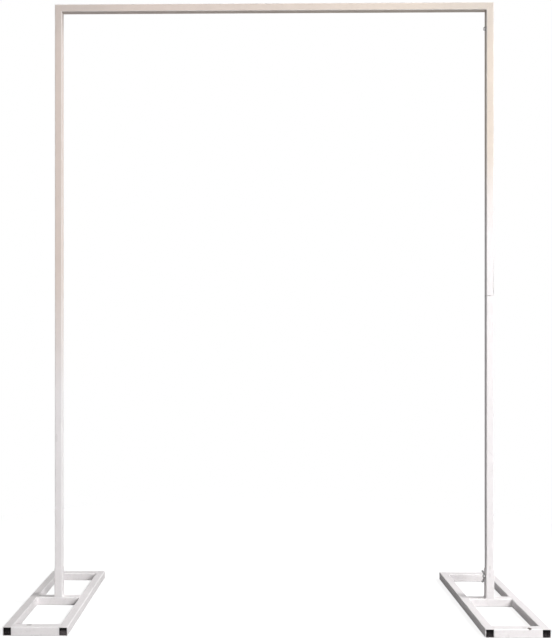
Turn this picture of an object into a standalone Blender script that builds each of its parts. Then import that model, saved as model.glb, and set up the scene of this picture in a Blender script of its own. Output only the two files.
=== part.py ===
"""Free-standing backdrop stand of square steel tube, white powder coat, in metres, +Z up.

Two flat ladder feet lie on the floor. On the middle crossbar of each stands a short socket, and
a post of two sections stands in it. A mitred bar closes the frame at the top. The origin is on
the floor, midway between the posts. +X runs along the bar and the front is at -Y.
"""
import math

import bmesh
import bpy
from mathutils import Matrix, Vector

# Driving dimensions of the whole stand
OUTER_WIDTH = 1.500          # over the outer faces of the posts
TOTAL_HEIGHT = 2.060         # floor to the top of the bar
JOINT_HEIGHT = 1.060         # where each upper section stands on its lower one
JOINT_GAP = {"left": 0.0003, "right": 0.0006}    # the right joint shows as a dark line
SEAT_GAP = 0.0003            # clearance between two pieces that touch

# Tube stock
POST_TUBE = 0.025
POST_WALL = 0.0012
POST_CORNER = 0.0026
FOOT_TUBE = 0.028
FOOT_WALL = 0.0020
SOCKET_WALL = 0.0012
FOOT_CORNER = 0.0030
CORNER_STEPS = 5
SHARPEST_CORNER = 0.0004     # least radius of a tube's inner corner

# Feet
FOOT_WIDTH = 0.200
FOOT_LENGTH = 0.580
SOCKET_HEIGHT = 0.097

# Inner tubes that join the sections and the corners
SPIGOT_TUBE = POST_TUBE - 2 * POST_WALL - 2 * SEAT_GAP
SPIGOT_WALL = 0.0015
SPIGOT_CORNER = 0.0012
SPIGOT_REACH = 0.080
ELBOW_DROP = 0.120
ELBOW_RUN = 0.080

# Bolts and drilling
DRILL_DEPTH = 0.012          # long enough for one wall of both tubes, too short for the far wall
SHANK_LENGTH = 0.014
SHANK_CHAMFER = 0.0010
BOLT_STEPS = 24

# Wing bolt in the right socket, and the hole for one in each socket
SOCKET_HOLE = 0.0090
SOCKET_HOLE_HEIGHT = {"left": 0.073, "right": 0.101}
WING_SHANK = 0.0080
HUB_DIAMETER = 0.0130
HUB_HEIGHT = 0.0072
HUB_CHAMFER = 0.0010
HUB_TAPER = 0.0009
# One wing from inside the hub to its tip: way to the side, way out from the seat, half width
# and half thickness
WING_STATIONS = (
    (0.0028, 0.0034, 0.0027, 0.0024),
    (0.0066, 0.0035, 0.0023, 0.0020),
    (0.0100, 0.0044, 0.0024, 0.0017),
    (0.0134, 0.0060, 0.0032, 0.0015),
    (0.0166, 0.0077, 0.0038, 0.0014),
    (0.0190, 0.0090, 0.0034, 0.0013),
    (0.0208, 0.0100, 0.0022, 0.0011),
    (0.0216, 0.0105, 0.0010, 0.0006),
)
WING_POINTS = 12             # points round a wing

# Hexagon bolt with a flange, under the right top corner
TOP_HOLE = 0.0070
TOP_BOLT_HEIGHT = 1.974
HEX_SHANK = 0.0060
HEX_FLATS = 0.0100
HEX_HEIGHT = 0.0066
HEX_CHAMFER_CIRCLE = 0.0094
FLANGE_DIAMETER = 0.0135
FLANGE_EDGE = 0.0009
FLANGE_TOP = 0.0022

# Plastic plugs in the rail ends
PLUG_SIZE = FOOT_TUBE - 2 * FOOT_WALL - 2 * SEAT_GAP
PLUG_CORNER = 0.0016
PLUG_FACE = 0.0016
PLUG_EDGE = 0.0006           # height of the face's rounded edge
PLUG_CROWN = 0.0005
PLUG_DEPTH = 0.016
PLUG_BODY = 0.0200
PLUG_SKIN = 0.0016
PLUG_FLOOR = 0.0010
PLUG_RIBS = 3
PLUG_RECESS = 0.0004
# Each rib rises and falls over these shares of its pitch
RIB_FOOT = 0.45
RIB_CREST = 0.60
RIB_END = 0.95

SIDES = {"left": -1, "right": 1}
POST_CENTRE = OUTER_WIDTH / 2 - POST_TUBE / 2


def clear_scene():
    for thing in list(bpy.data.objects):
        bpy.data.objects.remove(thing, do_unlink=True)


def new_collection(name):
    group = bpy.data.collections.new(name)
    bpy.context.scene.collection.children.link(group)
    return group


def new_material(name, colour, roughness, metallic):
    material = bpy.data.materials.new(name)
    material.use_nodes = True
    shader = material.node_tree.nodes["Principled BSDF"]
    shader.inputs["Base Color"].default_value = (*colour, 1.0)
    shader.inputs["Roughness"].default_value = roughness
    shader.inputs["Metallic"].default_value = metallic
    material.diffuse_color = (*colour, 1.0)
    return material


def add_object(name, bm, material, group):
    """Puts a finished bmesh in a new object of its own."""
    bmesh.ops.remove_doubles(bm, verts=bm.verts, dist=0.000001)
    bmesh.ops.recalc_face_normals(bm, faces=bm.faces)
    mesh = bpy.data.meshes.new(name)
    bm.to_mesh(mesh)
    bm.free()
    mesh.materials.append(material)
    mesh.shade_smooth()
    mesh.set_sharp_from_angle(angle=math.radians(35))
    thing = bpy.data.objects.new(name, mesh)
    group.objects.link(thing)
    return thing


def rounded_square(half, radius, steps=CORNER_STEPS):
    """Points of a square outline with round corners, anticlockwise."""
    points = []
    for corner in range(4):
        turn = corner * math.pi / 2
        centre = Vector((half - radius, half - radius)) @ Matrix.Rotation(-turn, 2)
        for step in range(steps + 1):
            angle = turn + step / steps * math.pi / 2
            points.append(centre + radius * Vector((math.cos(angle), math.sin(angle))))
    return points


def bridge(bm, ring_a, ring_b):
    """Joins two rings of the same count by a band of faces."""
    count = len(ring_a)
    return [bm.faces.new((ring_a[i], ring_a[(i + 1) % count], ring_b[(i + 1) % count], ring_b[i]))
            for i in range(count)]


def tube_mesh(stations, size, wall, corner):
    """A square tube through stations, each a function from profile (a, b) to a point."""
    outer = rounded_square(size / 2, corner)
    inner = rounded_square(size / 2 - wall, max(corner - wall, SHARPEST_CORNER))
    bm = bmesh.new()
    rings = []
    for place in stations:
        rings.append([[bm.verts.new(place(p.x, p.y)) for p in outline] for outline in (outer, inner)])
    for (out_a, in_a), (out_b, in_b) in zip(rings, rings[1:]):
        bridge(bm, out_a, out_b)
        bridge(bm, in_b, in_a)
    bridge(bm, rings[0][1], rings[0][0])
    bridge(bm, rings[-1][0], rings[-1][1])
    return bm


def straight_tube(name, length, size, wall, corner, material, group, mitres=(0, 0)):
    """A tube along local Z from 0 to length. A mitre of 1 or -1 slants that end along local X."""
    ends = ((0.0, mitres[0]), (length, mitres[1]))
    stations = [lambda a, b, z=z, slant=slant: Vector((a, b, z + slant * a)) for z, slant in ends]
    return add_object(name, tube_mesh(stations, size, wall, corner), material, group)


def cut_hole(thing, cutters, centre, diameter):
    """Drills a round hole along X through the wall at centre, with its cutter kept as a guide."""
    bm = bmesh.new()
    bmesh.ops.create_cone(bm, cap_ends=True, segments=BOLT_STEPS, radius1=diameter / 2,
                          radius2=diameter / 2, depth=DRILL_DEPTH)
    mesh = bpy.data.meshes.new(thing.name + "_drill")
    bm.to_mesh(mesh)
    bm.free()
    drill = bpy.data.objects.new(thing.name + "_drill", mesh)
    cutters.objects.link(drill)
    drill.location = centre
    drill.rotation_euler = (0, math.pi / 2, 0)
    drill.hide_render = True
    drill.display_type = "WIRE"
    hole = thing.modifiers.new("bolt hole", "BOOLEAN")
    hole.operation = "DIFFERENCE"
    hole.object = drill


def place_along_y(thing, x, z, y_start):
    """Turns a tube made along Z so that it runs along +Y from y_start."""
    thing.rotation_euler = (-math.pi / 2, 0, 0)
    thing.location = (x, y_start, z)


def place_along_x(thing, y, z, x_start):
    """Turns a tube made along Z so that it runs along +X from x_start."""
    thing.rotation_euler = (0, math.pi / 2, 0)
    thing.location = (x_start, y, z)


def ribbed_plug(name, material, group):
    """A tube plug: a crowned face, a hollow body behind it and sharp ribs round the body.

    The face is at local z = 0 and looks along -Z. The body reaches up to PLUG_DEPTH.
    """
    half = PLUG_SIZE / 2
    body = PLUG_BODY / 2
    bore = body - PLUG_SKIN
    stations = [(half * 0.62, -PLUG_CROWN), (half * 0.90, -PLUG_CROWN * 0.55), (half, PLUG_EDGE),
                (half, PLUG_FACE)]
    pitch = (PLUG_DEPTH - PLUG_FACE) / PLUG_RIBS
    for rib in range(PLUG_RIBS):
        root = PLUG_FACE + rib * pitch
        stations += [(body, root), (body, root + pitch * RIB_FOOT)]
        stations += [(half - SEAT_GAP, root + pitch * RIB_CREST), (body, root + pitch * RIB_END)]
    stations += [(body, PLUG_DEPTH), (bore, PLUG_DEPTH), (bore, PLUG_FACE + PLUG_FLOOR)]
    bm = bmesh.new()
    rings = []
    for size, z in stations:
        outline = rounded_square(size, PLUG_CORNER, steps=3)
        rings.append([bm.verts.new((p.x, p.y, z)) for p in outline])
    for ring_a, ring_b in zip(rings, rings[1:]):
        bridge(bm, ring_a, ring_b)
    bm.faces.new(rings[0])
    bm.faces.new(rings[-1])
    return add_object(name, bm, material, group)


def shank_profile(diameter):
    """The lower half of a bolt's profile, from its seat to the middle of its chamfered end."""
    radius = diameter / 2
    return [(radius, 0.0), (radius, SHANK_CHAMFER - SHANK_LENGTH),
            (radius - SHANK_CHAMFER, -SHANK_LENGTH), (0.0, -SHANK_LENGTH)]


def turned(profile):
    """A solid turned about local Z from a profile of (radius, height) points."""
    bm = bmesh.new()
    chain = [bm.verts.new((x, 0.0, z)) for x, z in profile]
    edges = [bm.edges.new(pair) for pair in zip(chain, chain[1:])]
    bmesh.ops.spin(bm, geom=chain + edges, cent=(0, 0, 0), axis=(0, 0, 1), angle=math.tau,
                   steps=BOLT_STEPS, use_merge=True)
    return bm


def forged_wing(side):
    """One wing, lofted through rounded sections that thin and widen from the hub to the tip.

    The wing lies in the plane of local X and Z, and each section stands square to its middle line.
    """
    bm = bmesh.new()
    rings = []
    last = len(WING_STATIONS) - 1
    for index, (x, z, half_width, half_thick) in enumerate(WING_STATIONS):
        before = WING_STATIONS[max(index - 1, 0)]
        after = WING_STATIONS[min(index + 1, last)]
        along = Vector((after[0] - before[0], after[1] - before[1])).normalized()
        across = Vector((-along.y, along.x))
        ring = []
        for point in range(WING_POINTS):
            angle = math.tau * point / WING_POINTS
            place = Vector((x, z)) + across * half_width * math.cos(angle)
            ring.append(bm.verts.new((side * place.x, half_thick * math.sin(angle), place.y)))
        rings.append(ring)
    for ring_a, ring_b in zip(rings, rings[1:]):
        bridge(bm, ring_a, ring_b)
    bm.faces.new(rings[0])
    bm.faces.new(rings[-1])
    return bm


def wing_bolt(name, material, group, cutters):
    """A wing bolt, head up, seat at local z = 0: a turned hub and shank with two wings fused on."""
    hub = HUB_DIAMETER / 2
    bolt = add_object(name, turned([
        (0.0, HUB_HEIGHT), (hub - HUB_TAPER - HUB_CHAMFER, HUB_HEIGHT),
        (hub - HUB_TAPER, HUB_HEIGHT - HUB_CHAMFER), (hub, HUB_CHAMFER),
        (hub - HUB_CHAMFER / 2, 0.0)] + shank_profile(WING_SHANK)), material, group)
    for side, tag in ((-1, "_wing_a"), (1, "_wing_b")):
        wing = add_object(name + tag, forged_wing(side), material, cutters)
        wing.hide_render = True
        wing.display_type = "WIRE"
        wing.parent = bolt
        join = bolt.modifiers.new("wing", "BOOLEAN")
        join.operation = "UNION"
        join.object = wing
    return bolt


def hex_bolt(name, material, group):
    """A hexagon bolt, head up, seat at local z = 0, with a flange under its chamfered head."""
    circle = HEX_CHAMFER_CIRCLE / 2
    flats = HEX_FLATS / 2
    shank = shank_profile(HEX_SHANK)[:-1]
    bm = bmesh.new()
    rings = []

    def add_ring(radius_at, height_at):
        ring = []
        for step in range(BOLT_STEPS):
            angle = math.tau * step / BOLT_STEPS
            radius = radius_at(angle)
            ring.append(bm.verts.new((radius * math.cos(angle), radius * math.sin(angle), height_at(radius))))
        rings.append(ring)

    def hexagon(angle):
        return flats / math.cos((angle + math.pi / 6) % (math.pi / 3) - math.pi / 6)

    for radius, z in reversed(shank):
        add_ring(lambda angle, r=radius: r, lambda r, z=z: z)
    flange = FLANGE_DIAMETER / 2
    for radius, z in ((flange - FLANGE_EDGE / 2, 0.0), (flange, FLANGE_EDGE / 2), (flange, FLANGE_EDGE)):
        add_ring(lambda angle, r=radius: r, lambda r, z=z: z)
    add_ring(hexagon, lambda r: FLANGE_TOP)
    # The chamfer is a cone of 30 degrees, so it cuts deeper at the corners than at the flats
    add_ring(hexagon, lambda r: HEX_HEIGHT - (r - circle) * math.tan(math.radians(30)))
    add_ring(lambda angle: circle, lambda r: HEX_HEIGHT)
    for ring_a, ring_b in zip(rings, rings[1:]):
        bridge(bm, ring_a, ring_b)
    bm.faces.new(rings[0])
    bm.faces.new(rings[-1])
    return add_object(name, bm, material, group)


def build_foot(side, coat, plastic, group, cutters):
    """One ladder foot: two rails with plugged ends, three crossbars and the post's socket."""
    sign = SIDES[side]
    stock = (FOOT_TUBE, FOOT_WALL, FOOT_CORNER, coat, group)
    centre = sign * POST_CENTRE
    rail_offset = FOOT_WIDTH / 2 - FOOT_TUBE / 2
    level = FOOT_TUBE / 2
    for rail, toward in (("outer", sign), ("inner", -sign)):
        x = centre + toward * rail_offset
        tube = straight_tube(f"{side}_foot_{rail}_rail", FOOT_LENGTH, *stock)
        place_along_y(tube, x, level, -FOOT_LENGTH / 2)
        for end, facing in (("front", -1), ("back", 1)):
            plug = ribbed_plug(f"{side}_foot_{end}_{rail}_plug", plastic, group)
            plug.rotation_euler = (facing * math.pi / 2, 0, 0)
            plug.location = (x, facing * (FOOT_LENGTH / 2 - PLUG_RECESS - PLUG_CROWN), level)
    span = FOOT_WIDTH - 2 * FOOT_TUBE - 2 * SEAT_GAP
    reach = FOOT_LENGTH / 2 - FOOT_TUBE / 2
    for bar, y in (("front", -reach), ("middle", 0.0), ("back", reach)):
        tube = straight_tube(f"{side}_foot_{bar}_crossbar", span, *stock)
        place_along_x(tube, y, level, centre - span / 2)
    socket = straight_tube(f"{side}_post_socket", SOCKET_HEIGHT, FOOT_TUBE, SOCKET_WALL, FOOT_CORNER,
                           coat, group)
    socket.location = (centre, 0, FOOT_TUBE + SEAT_GAP)
    inner_face = (centre - sign * FOOT_TUBE / 2, 0, SOCKET_HOLE_HEIGHT[side])
    cut_hole(socket, cutters, inner_face, SOCKET_HOLE)


def build_post(side, coat, group, cutters):
    """The two sections of one post, the spigot in their joint and the elbow in the corner."""
    sign = SIDES[side]
    centre = sign * POST_CENTRE
    stock = (POST_TUBE, POST_WALL, POST_CORNER, coat, group)
    inner = (SPIGOT_TUBE, SPIGOT_WALL, SPIGOT_CORNER)
    foot_top = FOOT_TUBE + SEAT_GAP
    lower = straight_tube(f"{side}_lower_post", JOINT_HEIGHT - foot_top, *stock)
    lower.location = (centre, 0, foot_top)
    inner_wall = centre - sign * POST_TUBE / 2
    cut_hole(lower, cutters, (inner_wall, 0, SOCKET_HOLE_HEIGHT[side]), SOCKET_HOLE)

    upper_base = JOINT_HEIGHT + JOINT_GAP[side]
    mitre_height = TOTAL_HEIGHT - POST_TUBE / 2 - SEAT_GAP
    upper = straight_tube(f"{side}_upper_post", mitre_height - upper_base, *stock,
                          mitres=(0, sign))
    upper.location = (centre, 0, upper_base)

    spigot = straight_tube(f"{side}_joint_spigot", 2 * SPIGOT_REACH, *inner, coat, group)
    spigot.location = (centre, 0, JOINT_HEIGHT - SPIGOT_REACH)

    corner_level = TOTAL_HEIGHT - POST_TUBE / 2
    stations = (
        lambda a, b: Vector((centre + a, b, corner_level - ELBOW_DROP)),
        lambda a, b: Vector((centre + a, b, corner_level + sign * a)),
        lambda a, b: Vector((centre - sign * ELBOW_RUN, b, corner_level + sign * a)),
    )
    elbow = add_object(f"{side}_corner_elbow", tube_mesh(stations, *inner), coat, group)
    if side == "right":
        for thing in (upper, elbow):
            cut_hole(thing, cutters, (inner_wall, 0, TOP_BOLT_HEIGHT), TOP_HOLE)


def build_bar(coat, group):
    """The top bar, cut to 45 degrees at both ends to meet the posts."""
    length = 2 * POST_CENTRE
    bar = straight_tube("top_bar", length, POST_TUBE, POST_WALL, POST_CORNER, coat, group,
                        mitres=(1, -1))
    place_along_x(bar, 0, TOTAL_HEIGHT - POST_TUBE / 2, -POST_CENTRE)


def build_bolts(zinc, group, cutters):
    """The two bolts that the stand still has, both on the right post's inner side."""
    top = hex_bolt("top_hex_bolt", zinc, group)
    top.location = (POST_CENTRE - POST_TUBE / 2 - SEAT_GAP, 0, TOP_BOLT_HEIGHT)
    top.rotation_euler = (0, -math.pi / 2, 0)
    low = wing_bolt("socket_wing_bolt", zinc, group, cutters)
    low.location = (POST_CENTRE - FOOT_TUBE / 2 - SEAT_GAP, 0, SOCKET_HOLE_HEIGHT["right"])
    low.rotation_euler = (0, -math.pi / 2, 0)


def build():
    clear_scene()
    group = new_collection("backdrop_stand")
    cutters = new_collection("cutters")
    coat = new_material("white_powder_coat", (0.86, 0.85, 0.84), 0.42, 0.0)
    plastic = new_material("black_plastic", (0.018, 0.018, 0.020), 0.48, 0.0)
    zinc = new_material("zinc_plate", (0.62, 0.62, 0.63), 0.35, 1.0)
    for side in SIDES:
        build_foot(side, coat, plastic, group, cutters)
        build_post(side, coat, group, cutters)
    build_bar(coat, group)
    build_bolts(zinc, group, cutters)


build()
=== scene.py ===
import math

import bmesh
import bpy
from mathutils import Euler, Matrix, Vector


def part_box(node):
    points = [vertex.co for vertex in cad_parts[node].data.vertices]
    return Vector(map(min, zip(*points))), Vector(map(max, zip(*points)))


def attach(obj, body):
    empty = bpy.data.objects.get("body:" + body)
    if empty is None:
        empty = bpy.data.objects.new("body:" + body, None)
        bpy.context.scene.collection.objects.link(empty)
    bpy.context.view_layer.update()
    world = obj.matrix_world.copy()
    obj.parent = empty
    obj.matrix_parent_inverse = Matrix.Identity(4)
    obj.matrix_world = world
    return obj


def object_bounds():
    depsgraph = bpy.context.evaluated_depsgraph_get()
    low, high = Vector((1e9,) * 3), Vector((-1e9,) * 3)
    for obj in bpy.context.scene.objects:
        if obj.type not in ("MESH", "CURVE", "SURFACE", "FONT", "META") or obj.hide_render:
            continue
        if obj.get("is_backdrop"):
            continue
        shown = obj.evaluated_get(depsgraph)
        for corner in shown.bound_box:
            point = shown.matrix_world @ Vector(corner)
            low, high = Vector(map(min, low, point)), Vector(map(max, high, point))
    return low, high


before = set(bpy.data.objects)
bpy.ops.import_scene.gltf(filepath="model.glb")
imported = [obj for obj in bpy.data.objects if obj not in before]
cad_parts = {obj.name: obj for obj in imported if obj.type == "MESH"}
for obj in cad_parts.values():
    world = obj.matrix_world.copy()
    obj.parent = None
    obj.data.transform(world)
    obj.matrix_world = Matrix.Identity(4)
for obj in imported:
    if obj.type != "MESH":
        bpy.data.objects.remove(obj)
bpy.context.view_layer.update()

# Foot rails and crossbars: 28 mm square steel tube, saw cut, welded into two flat ladders and
# powder coated white. The coat has a fine orange peel and a few knocks, one of them down to the
# steel. Painted light and shade lie on it as well: a warmer, dimmer light high up on the stand,
# shade round the top corners, on a few patches and with the dust low down, and a painted
# highlight on the rounded corners.


def add_node(tree, kind, **values):
    """One shader node, with its inputs and settings given by name."""
    node = tree.nodes.new(kind)
    for key, value in values.items():
        name = key.replace("_", " ")
        if name in node.inputs:
            node.inputs[name].default_value = value
        else:
            setattr(node, key, value)
    return node


def wire(tree, source, target):
    """Links an output socket to an input socket."""
    tree.links.new(source, target)


def maths(tree, operation, a, b=None):
    """A Math node. An input is a number or another node's socket."""
    node = add_node(tree, "ShaderNodeMath", operation=operation)
    for index, value in enumerate((a, b)):
        if value is None:
            continue
        if isinstance(value, (int, float)):
            node.inputs[index].default_value = value
        else:
            wire(tree, value, node.inputs[index])
    return node.outputs[0]


def blend(tree, share, first, second, how="MIX"):
    """A colour mix. Each colour is three numbers or a socket."""
    node = add_node(tree, "ShaderNodeMix", data_type="RGBA", blend_type=how)
    share_input, first_input, second_input = 0, 6, 7
    if isinstance(share, (int, float)):
        node.inputs[share_input].default_value = share
    else:
        wire(tree, share, node.inputs[share_input])
    for index, value in ((first_input, first), (second_input, second)):
        if isinstance(value, tuple):
            node.inputs[index].default_value = (*value, 1.0)
        else:
            wire(tree, value, node.inputs[index])
    colour_output = 2
    return node.outputs[colour_output]


def spread(tree, value, low, high, to_low=0.0, to_high=1.0, smooth=False):
    """Maps a range of values to another, clamped at both ends."""
    node = tree.nodes.new("ShaderNodeMapRange")
    node.interpolation_type = "SMOOTHSTEP" if smooth else "LINEAR"
    wire(tree, value, node.inputs["Value"])
    ends = {"From Min": low, "From Max": high, "To Min": to_low, "To Max": to_high}
    for name, number in ends.items():
        node.inputs[name].default_value = number
    return node.outputs[0]


def speckle(tree, where, scale, detail=2.0, rough=0.5):
    """Noise of so many lumps in a metre, about 0 to 1."""
    node = add_node(tree, "ShaderNodeTexNoise", Scale=scale, Detail=detail, Roughness=rough)
    wire(tree, where, node.inputs["Vector"])
    return node.outputs["Fac"]


def reach_of(tree, where, place, half):
    """How far a point is from a place, in half widths along X, Y and Z."""
    apart = add_node(tree, "ShaderNodeVectorMath", operation="SUBTRACT")
    wire(tree, where, apart.inputs[0])
    apart.inputs[1].default_value = place
    share = add_node(tree, "ShaderNodeVectorMath", operation="DIVIDE")
    wire(tree, apart.outputs[0], share.inputs[0])
    share.inputs[1].default_value = half
    length = add_node(tree, "ShaderNodeVectorMath", operation="LENGTH")
    wire(tree, share.outputs[0], length.inputs[0])
    return length.outputs["Value"]


def start_finish(name):
    """A new material with its node tree, its shader and the place of each point on the stand."""
    finish = bpy.data.materials.new(name)
    finish.use_nodes = True
    tree = finish.node_tree
    where = tree.nodes.new("ShaderNodeTexCoord").outputs["Object"]
    return finish, tree, tree.nodes["Principled BSDF"], where


def split_axes(tree, where):
    """The X, Y and Z of a place, as the outputs of one node."""
    split = tree.nodes.new("ShaderNodeSeparateXYZ")
    wire(tree, where, split.inputs[0])
    return split.outputs


def bump(tree, where, scale, detail, strength, height):
    """A Bump node over fine lumps, of about the given height in metres."""
    node = add_node(tree, "ShaderNodeBump", Strength=strength, Distance=height)
    wire(tree, speckle(tree, where, scale, detail), node.inputs["Height"])
    return node


def highlighted_corners(tree, where):
    """1 on the rounded corners of a tube and 0 on its flat sides, uneven along it: where the
    highlight is painted.
    """
    facing = add_node(tree, "ShaderNodeVectorMath", operation="ABSOLUTE")
    wire(tree, tree.nodes.new("ShaderNodeNewGeometry").outputs["Normal"], facing.inputs[0])
    total = add_node(tree, "ShaderNodeVectorMath", operation="DOT_PRODUCT")
    wire(tree, facing.outputs[0], total.inputs[0])
    total.inputs[1].default_value = (1, 1, 1)
    flat, rounded = 1.08, 1.34
    corner = spread(tree, total.outputs["Value"], flat, rounded)
    unevenness = spread(tree, speckle(tree, where, 24.0, 4.0), 0.35, 0.60, to_low=0.45)
    return maths(tree, "MULTIPLY", corner, unevenness)


COAT_WHITE = (0.88, 0.845, 0.85)
# Painted warm, dimmer light on the upper stand, left and right
PAINTED_WARM_LIGHT_LEFT = (0.76, 0.654, 0.599)
PAINTED_WARM_LIGHT_RIGHT = (0.755, 0.662, 0.579)
# Painted highlight on the rounded corners
COAT_CORNER_HIGHLIGHT = (0.90, 0.885, 0.885)
# Grey of dust and scratches, also painted shade at the top corners and near the floor
COAT_DUST_AND_SHADE = (0.50, 0.475, 0.455)
COAT_SHINE = 0.22
# Dark of bare primer and steel in the knocks, also painted shade in the shade patches
PRIMER_AND_SHADE_DARK = (0.075, 0.070, 0.068)
STEEL_AND_SHADE_DARK = (0.21, 0.18, 0.155)
WARM_STARTS, WARM_FULL = 0.94, 1.44    # heights between which the painted warm light comes in, at mid-width
WARM_TILT = 0.36                       # how much lower they lie for each metre to the left
WARM_DRIFT = 0.08                      # and how far they wander up and down
DUST_AND_SHADE_FROM, DUST_AND_SHADE_TO = 0.004, 0.16       # heights between which the dust and painted shade thin out
DUST_AND_SHADE_THICK, DUST_AND_SHADE_THIN = 0.30, 0.03
TOP_CORNER = (0.74, 0, 2.05)
TOP_CORNER_HALF = (0.24, 0.24, 0.15)
KNOCK_RAGGED = 1.1                     # how ragged a knock's edge is, in its half widths


def powder_coat(name, marks=()):
    """White powder coat with painted light and shade. A mark has a place, its half width on X, Y
    and Z, and how dark it is: bare for a knock, deep for painted shade.
    """
    coat, tree, shader, where = start_finish(name)
    axes = split_axes(tree, where)

    # Painted warm, dimmer light above a soft uneven border, which lies lower on the left post than
    # on the right one, and a little yellower on the right
    drift = spread(tree, speckle(tree, where, 1.6, 1.0), 0.3, 0.7, -WARM_DRIFT, WARM_DRIFT)
    height = maths(tree, "ADD", axes["Z"], drift)
    height = maths(tree, "SUBTRACT", height, maths(tree, "MULTIPLY", axes["X"], WARM_TILT))
    warm_light = blend(tree, spread(tree, axes["X"], -0.5, 0.5), PAINTED_WARM_LIGHT_LEFT, PAINTED_WARM_LIGHT_RIGHT)
    warm_light_share = spread(tree, height, WARM_STARTS, WARM_FULL, smooth=True)
    colour = blend(tree, warm_light_share, COAT_WHITE, warm_light)

    # Painted shade: both top corners are painted greyer
    either_side = add_node(tree, "ShaderNodeVectorMath", operation="ABSOLUTE")
    wire(tree, where, either_side.inputs[0])
    corner = reach_of(tree, either_side.outputs[0], TOP_CORNER, TOP_CORNER_HALF)
    top_corner_shade = spread(tree, corner, 1.2, 0.2, to_high=0.26, smooth=True)
    colour = blend(tree, top_corner_shade, colour, COAT_DUST_AND_SHADE)

    # Thin and thick cloudy patches, then dust specks low down, which also paint the shade near the
    # floor
    cloud = spread(tree, speckle(tree, where, 14.0, 4.0, 0.62), 0.3, 0.7, to_low=0.955)
    shade = tree.nodes.new("ShaderNodeCombineColor")
    for channel in ("Red", "Green", "Blue"):
        wire(tree, cloud, shade.inputs[channel])
    colour = blend(tree, 1.0, colour, shade.outputs[0], "MULTIPLY")
    specks = spread(tree, speckle(tree, where, 90.0, 6.0, 0.7), 0.52, 0.78)
    low_down = spread(tree, axes["Z"], DUST_AND_SHADE_FROM, DUST_AND_SHADE_TO, DUST_AND_SHADE_THICK, DUST_AND_SHADE_THIN)
    colour = blend(tree, maths(tree, "MULTIPLY", specks, low_down), colour, COAT_DUST_AND_SHADE)

    # Hairline scratches, nearly straight, here and there
    lines = maths(tree, "FRACT", maths(tree, "MULTIPLY", speckle(tree, where, 5.0, 0.0), 14.0))
    off_line = maths(tree, "ABSOLUTE", maths(tree, "SUBTRACT", lines, 0.5))
    on_line = spread(tree, off_line, 0.022, 0.008)
    here_and_there = spread(tree, speckle(tree, where, 38.0, 1.0), 0.60, 0.66, to_high=0.26)
    colour = blend(tree, maths(tree, "MULTIPLY", on_line, here_and_there), colour, COAT_DUST_AND_SHADE)

    # Painted highlight: the rounded corners are painted lighter, and they are smoother
    corner_highlight = highlighted_corners(tree, where)
    colour = blend(tree, maths(tree, "MULTIPLY", corner_highlight, 0.60), colour, COAT_CORNER_HIGHLIGHT)

    # Knocks, from a grey scuff to a chip through to dark primer and steel, and patches of painted
    # shade in the same colours, all with ragged edges
    ragged = maths(tree, "SUBTRACT", speckle(tree, where, 420.0, 3.0, 0.6), 0.5)
    ragged = maths(tree, "MULTIPLY", ragged, KNOCK_RAGGED)
    bare_or_shaded = None
    for place, half, depth in marks:
        reach = maths(tree, "ADD", reach_of(tree, where, place, half), ragged)
        mark_share = spread(tree, reach, 1.15, 0.85, to_high=depth)
        bare_or_shaded = mark_share if bare_or_shaded is None else maths(tree, "MAXIMUM", bare_or_shaded, mark_share)
    if bare_or_shaded is not None:
        grit = spread(tree, speckle(tree, where, 800.0, 3.0), 0.4, 0.6)
        colour = blend(tree, bare_or_shaded, colour, blend(tree, grit, PRIMER_AND_SHADE_DARK, STEEL_AND_SHADE_DARK))
    wire(tree, colour, shader.inputs["Base Color"])

    # Orange peel from the oven, with a finer grain on top
    peel = bump(tree, where, scale=330.0, detail=1.0, strength=0.20, height=0.00035)
    grain = bump(tree, where, scale=1500.0, detail=2.0, strength=0.12, height=0.00012)
    wire(tree, peel.outputs[0], grain.inputs["Normal"])
    wire(tree, grain.outputs[0], shader.inputs["Normal"])

    # Satin, smoother on the corners with the painted highlight, and rough on the knocks and the
    # patches of painted shade
    roughness = spread(tree, speckle(tree, where, 30.0, 3.0), 0.3, 0.7, 0.44, 0.55)
    roughness = maths(tree, "SUBTRACT", roughness, maths(tree, "MULTIPLY", corner_highlight, 0.12))
    if bare_or_shaded is not None:
        roughness = maths(tree, "MAXIMUM", roughness, maths(tree, "MULTIPLY", bare_or_shaded, 0.75))
    wire(tree, roughness, shader.inputs["Roughness"])
    shader.inputs["Specular IOR Level"].default_value = COAT_SHINE
    return coat


def dress(material, *names):
    """Gives CAD nodes their finish."""
    for name in names:
        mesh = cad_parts[name].data
        mesh.materials.clear()
        mesh.materials.append(material)


SIDES = ("left", "right")
FOOT_MARKS = (
    # A scuff on top of the left foot's front crossbar
    ((-0.7610, -0.2720, 0.027), (0.0085, 0.0060, 0.006), 0.46),
    # A chip in the top edge of the right foot's front crossbar, and the smear beside it
    ((0.7730, -0.2845, 0.028), (0.0062, 0.0072, 0.0045), 1.0),
    ((0.7600, -0.2800, 0.028), (0.0080, 0.0040, 0.004), 0.30),
    # Painted shade darkens the top of the left foot's outer rail
    ((-0.8235, 0.0000, 0.028), (0.0220, 0.3600, 0.005), 0.19),
    # Painted shade darkens the left side of the right foot's inner rail
    ((0.6375, 0.2000, 0.014), (0.0040, 0.1800, 0.030), 0.13),
)
foot_coat = powder_coat("foot_powder_coat", FOOT_MARKS)
for side in SIDES:
    dress(foot_coat, f"{side}_foot_outer_rail", f"{side}_foot_inner_rail",
          f"{side}_foot_front_crossbar", f"{side}_foot_middle_crossbar",
          f"{side}_foot_back_crossbar")

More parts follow.
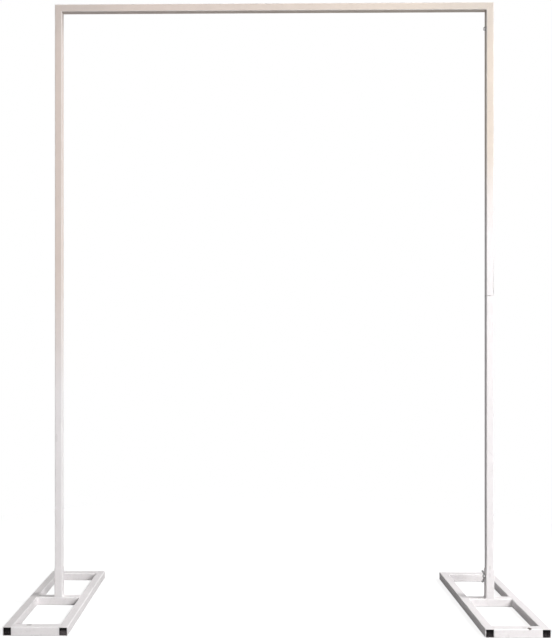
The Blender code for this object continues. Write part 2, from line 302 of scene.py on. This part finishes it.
# Foot welds: a short run of weld down each inner corner where a crossbar meets a rail, and one
# across the top that fills the groove beside the rail's rounded edge. The coat covers them.
ROD_SIDES = 14       # flats round a run of weld
END_TAPER = 0.45     # a run's width at its ends, as a share of its middle
PINCH = 0.86         # its width between two ripples, as a share of a ripple's
RIPPLE_BOW = 0.55    # how far a ripple bows back, in gaps between rings


def pick(thing, kind, test):
    """Selects, in edit mode, the VERTs or EDGEs that pass the test."""
    bpy.ops.mesh.select_mode(type=kind)
    bpy.ops.mesh.select_all(action="DESELECT")
    mesh = bmesh.from_edit_mesh(thing.data)
    for part in {"VERT": mesh.verts, "EDGE": mesh.edges}[kind]:
        if test(part):
            part.select_set(True)
    bmesh.update_edit_mesh(thing.data)


def weld_run(length, width, ripples):
    """A run of weld along X, at the origin: a thin rod cut into rings, each swelled or pinched."""
    bpy.ops.object.select_all(action="DESELECT")
    bpy.ops.mesh.primitive_cylinder_add(vertices=ROD_SIDES, radius=width / 2, depth=length,
                                        rotation=(0, math.pi / 2, 0))
    run = bpy.context.object
    bpy.ops.object.transform_apply(location=True, rotation=True, scale=True)
    bpy.ops.object.mode_set(mode="EDIT")
    pick(run, "EDGE", lambda e: abs(e.verts[0].co.x - e.verts[1].co.x) > length / 2)
    last_ring = 2 * ripples
    bpy.ops.mesh.subdivide(number_cuts=last_ring - 1)
    gap = length / last_ring
    near = gap * 0.3
    for ring in range(last_ring + 1):
        at = ring * gap - length / 2
        pick(run, "VERT", lambda v: abs(v.co.x - at) < near)
        if ring in (0, last_ring):
            bpy.ops.transform.resize(value=(1, END_TAPER, END_TAPER))
        elif ring % 2:
            bpy.ops.transform.resize(value=(1, PINCH, PINCH))
        # The top of each ripple bows back, as the pool froze
        if 0 < ring < last_ring:
            pick(run, "VERT", lambda v: abs(v.co.x - at) < near and v.co.z > width * 0.2)
            bpy.ops.transform.translate(value=(-gap * RIPPLE_BOW, 0, 0))
    bpy.ops.object.mode_set(mode="OBJECT")
    return run


def lay(run, centre, along, squash=(1, 1, 1)):
    """A copy of a run of weld, with its own mesh, laid at a place along X, Y or Z."""
    turn = {"X": Euler((0, 0, 0)), "Y": Euler((0, 0, math.pi / 2)),
            "Z": Euler((0, -math.pi / 2, 0))}[along]
    copy = run.copy()
    copy.data = run.data.copy()
    bpy.context.scene.collection.objects.link(copy)
    copy.data.transform(Matrix.Translation(centre) @ Matrix.Diagonal((*squash, 1))
                        @ turn.to_matrix().to_4x4())
    return copy


def join(name, things, material):
    """Fuses finished shapes into one piece of that name that rides on the stand."""
    bpy.ops.object.select_all(action="DESELECT")
    for thing in things:
        thing.select_set(True)
    bpy.context.view_layer.objects.active = things[0]
    bpy.ops.object.join()
    piece = bpy.context.object
    piece.name = name
    piece.data.name = name
    piece.data.materials.clear()
    piece.data.materials.append(material)
    bpy.ops.object.shade_smooth_by_angle(angle=math.radians(50))
    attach(piece, "root")


FILLET_PROUD = 0.0002     # a fillet's middle stands this far out of its corner
GROOVE_BESIDE = 0.0009    # a groove run's middle lies this far past the crossbar's end
GROOVE_BELOW = 0.0022     # and this far below the tops of the tubes, so that it ends flush
GROOVE_SQUASH = (1.35, 1, 0.9)
weld_coat = powder_coat("weld_powder_coat")
fillet_run = weld_run(length=0.0250, width=0.0056, ripples=9)
groove_run = weld_run(length=0.0262, width=0.0046, ripples=9)
for side in SIDES:
    runs = []
    for bar in ("front", "middle", "back"):
        low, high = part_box(f"{side}_foot_{bar}_crossbar")
        middle = (low + high) / 2
        for end_x, inward in ((low.x, 1), (high.x, -1)):
            groove = (end_x - inward * GROOVE_BESIDE, middle.y, high.z - GROOVE_BELOW)
            runs.append(lay(groove_run, groove, "Y", GROOVE_SQUASH))
            # Only the corners that face into a bay have a fillet
            fillet_x = end_x + inward * FILLET_PROUD
            if bar != "front":
                runs.append(lay(fillet_run, (fillet_x, low.y - FILLET_PROUD, middle.z), "Z"))
            if bar != "back":
                runs.append(lay(fillet_run, (fillet_x, high.y + FILLET_PROUD, middle.z), "Z"))
    join(f"{side}_foot_welds", runs, weld_coat)
for pattern in (fillet_run, groove_run):
    bpy.data.objects.remove(pattern, do_unlink=True)

# Rail end plugs: black polyethylene, moulded with a shallow crown and pressed in until they lie
# just inside the rails' ends. The faces have a fine matt grain and are scratched grey low down,
# where the grey is also a painted reflection of the floor.
PLUG_BLACK = (0.0035, 0.003, 0.0035)
# Grey of scratches, also a painted reflection of the floor
PLUG_SCRATCHED_AND_REFLECTING = (0.100, 0.086, 0.090)
PLUG_SHINE = 0.08
SCUFFED_PLUG = (-0.6515, -0.29, 0.007)    # low on the left foot's inner front plug
SCUFF_HALF = (0.022, 0.02, 0.014)


def black_plug(name):
    """Moulded black plastic, scratched grey near the floor and most on one plug; near the floor
    the grey is also a painted reflection.
    """
    plastic, tree, shader, where = start_finish(name)
    scratches = spread(tree, speckle(tree, where, 210.0, 5.0, 0.75), 0.42, 0.66)
    # Greyer towards the floor: scratches and a painted reflection of the floor
    low_down = spread(tree, split_axes(tree, where)["Z"], 0.021, 0.006, 0.03, 0.85)
    scratch_and_reflection = maths(tree, "MULTIPLY", scratches, low_down)
    scuffed = spread(tree, reach_of(tree, where, SCUFFED_PLUG, SCUFF_HALF), 1.10, 0.40,
                     smooth=True)
    patches = spread(tree, speckle(tree, where, 260.0, 5.0, 0.75), 0.35, 0.60, to_low=0.60)
    scratch_and_reflection = maths(tree, "MAXIMUM", scratch_and_reflection, maths(tree, "MULTIPLY", scuffed, patches))
    wire(tree, blend(tree, scratch_and_reflection, PLUG_BLACK, PLUG_SCRATCHED_AND_REFLECTING), shader.inputs["Base Color"])
    grain = bump(tree, where, scale=1900.0, detail=2.0, strength=0.35, height=0.00012)
    wire(tree, grain.outputs[0], shader.inputs["Normal"])
    wire(tree, spread(tree, scratch_and_reflection, 0.0, 0.5, 0.52, 0.80), shader.inputs["Roughness"])
    shader.inputs["Specular IOR Level"].default_value = PLUG_SHINE
    return plastic


plug_plastic = black_plug("plug_black_plastic")
for side in SIDES:
    for end in ("front", "back"):
        dress(plug_plastic, f"{side}_foot_{end}_outer_plug", f"{side}_foot_{end}_inner_plug")

# Post sockets: short lengths of tube that stand on the middle crossbars, a loose fit round the
# posts. A fillet weld runs along each side of the base, and a flush run along front and back.
# They have the same coat as the posts.
JOINT_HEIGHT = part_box("right_lower_post")[1].z
# Half lengths and depths of the painted shade up the right post's outer corner
CORNER_SHADE_STEPS = ((0.020, 0.66), (0.042, 0.46), (0.072, 0.32), (0.110, 0.18))
post_marks = [
    # Grime in the right post's joint, most of it in front
    ((0.7336, -0.0125, JOINT_HEIGHT), (0.0072, 0.003, 0.0011), 0.74),
    ((0.7375, 0.0000, JOINT_HEIGHT), (0.0240, 0.024, 0.0012), 0.22),
    # A faint scuff on the left lower post
    ((-0.7437, -0.0125, 0.574), (0.0040, 0.003, 0.0140), 0.08),
    # Two more, just above the right socket's rim and just below it
    ((0.7365, -0.0140, 0.133), (0.0046, 0.003, 0.0090), 0.13),
    ((0.7352, -0.0140, 0.109), (0.0038, 0.003, 0.0080), 0.10),
]
# Painted shade up the right post's outer corner from the joint, which fades as it rises
for half_length, depth in CORNER_SHADE_STEPS:
    corner_shade_middle = (0.7497, -0.0120, JOINT_HEIGHT + half_length)
    post_marks.append((corner_shade_middle, (0.0024, 0.003, half_length), depth))
post_coat = powder_coat("post_powder_coat", post_marks)

SIDE_RUN_RISE = 0.0002      # the middle of a side run lies this far above the socket's base
FLUSH_RUN_BELOW = 0.0007    # the middle of a front or back run lies this far below that base
FLUSH_RUN_IN = 0.0017       # and this far in from the socket's face
FLUSH_RUN_SQUASH = (1, 0.6, 0.6)
socket_run = weld_run(length=0.0262, width=0.0054, ripples=10)
for side in SIDES:
    dress(post_coat, f"{side}_post_socket")
    low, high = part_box(f"{side}_post_socket")
    middle = (low + high) / 2
    runs = []
    for side_x in (low.x, high.x):
        runs.append(lay(socket_run, (side_x, 0, low.z + SIDE_RUN_RISE), "Y"))
    for face_y in (low.y + FLUSH_RUN_IN, high.y - FLUSH_RUN_IN):
        flush = (middle.x, face_y, low.z - FLUSH_RUN_BELOW)
        runs.append(lay(socket_run, flush, "X", FLUSH_RUN_SQUASH))
    join(f"{side}_socket_welds", runs, weld_coat)
bpy.data.objects.remove(socket_run, do_unlink=True)

# Posts and top bar: 25 mm square tube with 1.2 mm walls. The upper sections stand on the lower
# ones over inner spigots, and the bar meets them in mitres over inner elbows.
for side in SIDES:
    dress(post_coat, f"{side}_lower_post", f"{side}_upper_post", f"{side}_joint_spigot",
          f"{side}_corner_elbow")
dress(post_coat, "top_bar")

# Bolts: a forged wing bolt in the right socket and a flanged hexagon bolt under the top corner,
# both zinc plated. The plate is dull and grey, in patches, with a painted reflection round one
# place on each bolt and painted shade elsewhere.
ZINC_PAINTED_REFLECTION = ((0.40, 0.395, 0.39), (0.60, 0.60, 0.60))
ZINC_DULL_AND_SHADED = ((0.22, 0.215, 0.215), (0.40, 0.395, 0.40))
WING_BOLT_REFLECTION = 0.0085    # radius of the painted reflection on each bolt
HEX_BOLT_REFLECTION = 0.0070


def zinc(name, centre, reflection_radius):
    """Zinc plate, patchy grey, with a painted reflection round one place that fades to painted
    shade further off.
    """
    plate, tree, shader, where = start_finish(name)
    patch = spread(tree, speckle(tree, where, 220.0, 4.0, 0.65), 0.35, 0.68)
    reach = reach_of(tree, where, centre, (reflection_radius,) * 3)
    # Painted reflection round the place, fading to painted shade
    reflection_fades = spread(tree, reach, 0.6, 1.2, smooth=True)
    colour = blend(tree, reflection_fades, blend(tree, patch, *ZINC_PAINTED_REFLECTION), blend(tree, patch, *ZINC_DULL_AND_SHADED))
    wire(tree, colour, shader.inputs["Base Color"])
    shader.inputs["Metallic"].default_value = 1.0
    roughness = spread(tree, speckle(tree, where, 500.0, 3.0), 0.3, 0.7, 0.34, 0.55)
    wire(tree, roughness, shader.inputs["Roughness"])
    dents = bump(tree, where, scale=640.0, detail=3.0, strength=0.35, height=0.0002)
    wire(tree, dents.outputs[0], shader.inputs["Normal"])
    return plate


low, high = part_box("socket_wing_bolt")
dress(zinc("wing_bolt_zinc_plate", (low + high) / 2, WING_BOLT_REFLECTION), "socket_wing_bolt")
low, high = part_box("top_hex_bolt")
head_face = Vector((low.x, (low.y + high.y) / 2, (low.z + high.z) / 2))
dress(zinc("hex_bolt_zinc_plate", head_face, HEX_BOLT_REFLECTION), "top_hex_bolt")

# Studio: a wide sheet of pale paper that keeps the stand's shadow and turns plain white further
# out, and white air all round. Both look white to the camera. Gloss on the steel shows the white
# further out, and the paper's own grey close to the feet.
PLAIN_WHITE = (1, 1, 1, 1)
PAPER_LIT = (0.32, 0.32, 0.32, 1)       # what the lamps light
PAPER_SHADED = (0.30, 0.30, 0.30, 1)    # what keeps the shadow for the camera
PAPER_GLOW = 0.84                       # what lifts that to white
PAPER_NEAR, PAPER_FAR = 1.1, 1.9        # metres from the middle between which it turns white
PAPER_SIZE = 30
PAPER_BELOW = 0.0002                    # how far it lies under the feet
AIR_LIGHT = 0.20                        # what the air adds to the lamps' light


def rays_that_see_white(tree):
    """1 for the camera's rays and for those in gloss or glass, 0 for the rest."""
    path = tree.nodes.new("ShaderNodeLightPath")
    seen = maths(tree, "MAXIMUM", path.outputs["Is Camera Ray"], path.outputs["Is Glossy Ray"])
    return maths(tree, "MAXIMUM", seen, path.outputs["Is Transmission Ray"])


def mix_shaders(tree, share, first, second):
    """A Mix Shader node's output."""
    node = tree.nodes.new("ShaderNodeMixShader")
    for index, socket in enumerate((share, first, second)):
        wire(tree, socket, node.inputs[index])
    return node.outputs[0]


def studio_paper():
    """Pale grey to the lamps. To the camera it is white, dimmed a little by a shadow."""
    paper, tree, shader, where = start_finish("studio_paper")
    tree.nodes.remove(shader)
    lit = add_node(tree, "ShaderNodeBsdfDiffuse", Color=PAPER_LIT)
    shaded = add_node(tree, "ShaderNodeBsdfDiffuse", Color=PAPER_SHADED)
    glow = add_node(tree, "ShaderNodeEmission", Color=PLAIN_WHITE, Strength=PAPER_GLOW)
    white = tree.nodes.new("ShaderNodeAddShader")
    wire(tree, shaded.outputs[0], white.inputs[0])
    wire(tree, glow.outputs[0], white.inputs[1])
    path = tree.nodes.new("ShaderNodeLightPath")
    direct = maths(tree, "MAXIMUM", path.outputs["Is Camera Ray"],
                   path.outputs["Is Transmission Ray"])
    near = mix_shaders(tree, direct, lit.outputs[0], white.outputs[0])
    far = add_node(tree, "ShaderNodeEmission", Color=PLAIN_WHITE, Strength=1.0)
    distance = add_node(tree, "ShaderNodeVectorMath", operation="LENGTH")
    wire(tree, where, distance.inputs[0])
    further_out = spread(tree, distance.outputs["Value"], PAPER_NEAR, PAPER_FAR, smooth=True)
    out_there = maths(tree, "MULTIPLY", further_out, rays_that_see_white(tree))
    look = mix_shaders(tree, out_there, near, far.outputs[0])
    wire(tree, look, tree.nodes["Material Output"].inputs["Surface"])
    return paper


bpy.ops.object.select_all(action="DESELECT")
bpy.ops.mesh.primitive_plane_add(size=PAPER_SIZE, location=(0, 0, -PAPER_BELOW))
floor = bpy.context.object
floor.name = "studio_floor"
floor.data.materials.append(studio_paper())
floor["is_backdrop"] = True

world = bpy.data.worlds.new("studio_air")
bpy.context.scene.world = world
world.use_nodes = True
tree = world.node_tree
air = tree.nodes["Background"]
air.inputs["Color"].default_value = PLAIN_WHITE
air.inputs["Strength"].default_value = AIR_LIGHT
white = add_node(tree, "ShaderNodeBackground", Color=PLAIN_WHITE, Strength=1.0)
all_round = mix_shaders(tree, rays_that_see_white(tree), air.outputs[0], white.outputs[0])
wire(tree, all_round, tree.nodes["World Output"].inputs["Surface"])

# Lamps: a key from the right and above, which throws the posts' shadows over the rails to their
# left, a wide fill in front and to the right, and a third low down and far behind the stand, so
# that the back isn't dark.


def softbox(name, place, aim, size, watts):
    """A square studio lamp at a place, turned to a point."""
    lamp = bpy.data.lights.new(name, "AREA")
    lamp.shape = "RECTANGLE"
    lamp.size = size
    lamp.size_y = size
    lamp.energy = watts
    box = bpy.data.objects.new(name, lamp)
    box.location = place
    box.rotation_euler = (Vector(aim) - Vector(place)).to_track_quat("-Z", "Y").to_euler()
    bpy.context.scene.collection.objects.link(box)
    return box


key = softbox("key_softbox", place=(4.62, -0.99, 5.49), aim=(0, 0, 0), size=1.4, watts=58)
key.data.spread = math.radians(80)    # a grid on the box narrows its beam
softbox("front_softbox", place=(1.82, -4.99, 1.80), aim=(0.1, 0, 0.8), size=2.0, watts=213)
behind = softbox("back_softbox", place=(-0.20, 8.00, 0.80), aim=(0, 0, 1.0), size=2.6, watts=330)
behind.visible_glossy = False    # no gleam along the posts' inner sides

# Camera: in front of the stand at about hip height, level, and turned a little to the left. Its
# lens is shifted, because the middle of the photograph isn't where its own lens pointed.
CAMERA_PLACE = (-0.063, -2.620, 0.894)
CAMERA_TURN = math.radians(0.673)
PICTURE_WIDTH, PICTURE_HEIGHT = 552.0, 640.0    # pixels
FOCAL_LENGTH = 763.0                            # pixels
LENS_MIDDLE_X, LENS_MIDDLE_Y = 246.2, 344.4     # pixels from the top left corner
SENSOR_WIDTH = 36.0                             # millimetres, along the picture's longer side
camera = bpy.data.objects.new("photo_camera", bpy.data.cameras.new("photo_camera"))
bpy.context.scene.collection.objects.link(camera)
camera.location = CAMERA_PLACE
camera.rotation_euler = (math.radians(90), 0, CAMERA_TURN)
camera.data.sensor_width = SENSOR_WIDTH
camera.data.lens = FOCAL_LENGTH / PICTURE_HEIGHT * SENSOR_WIDTH
camera.data.shift_x = (PICTURE_WIDTH / 2 - LENS_MIDDLE_X) / PICTURE_HEIGHT
camera.data.shift_y = (LENS_MIDDLE_Y - PICTURE_HEIGHT / 2) / PICTURE_HEIGHT
camera.data.clip_end = 100
bpy.context.scene.camera = camera

# Colours are shown about as they are written
bpy.context.scene.view_settings.view_transform = "Standard"

low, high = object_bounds()
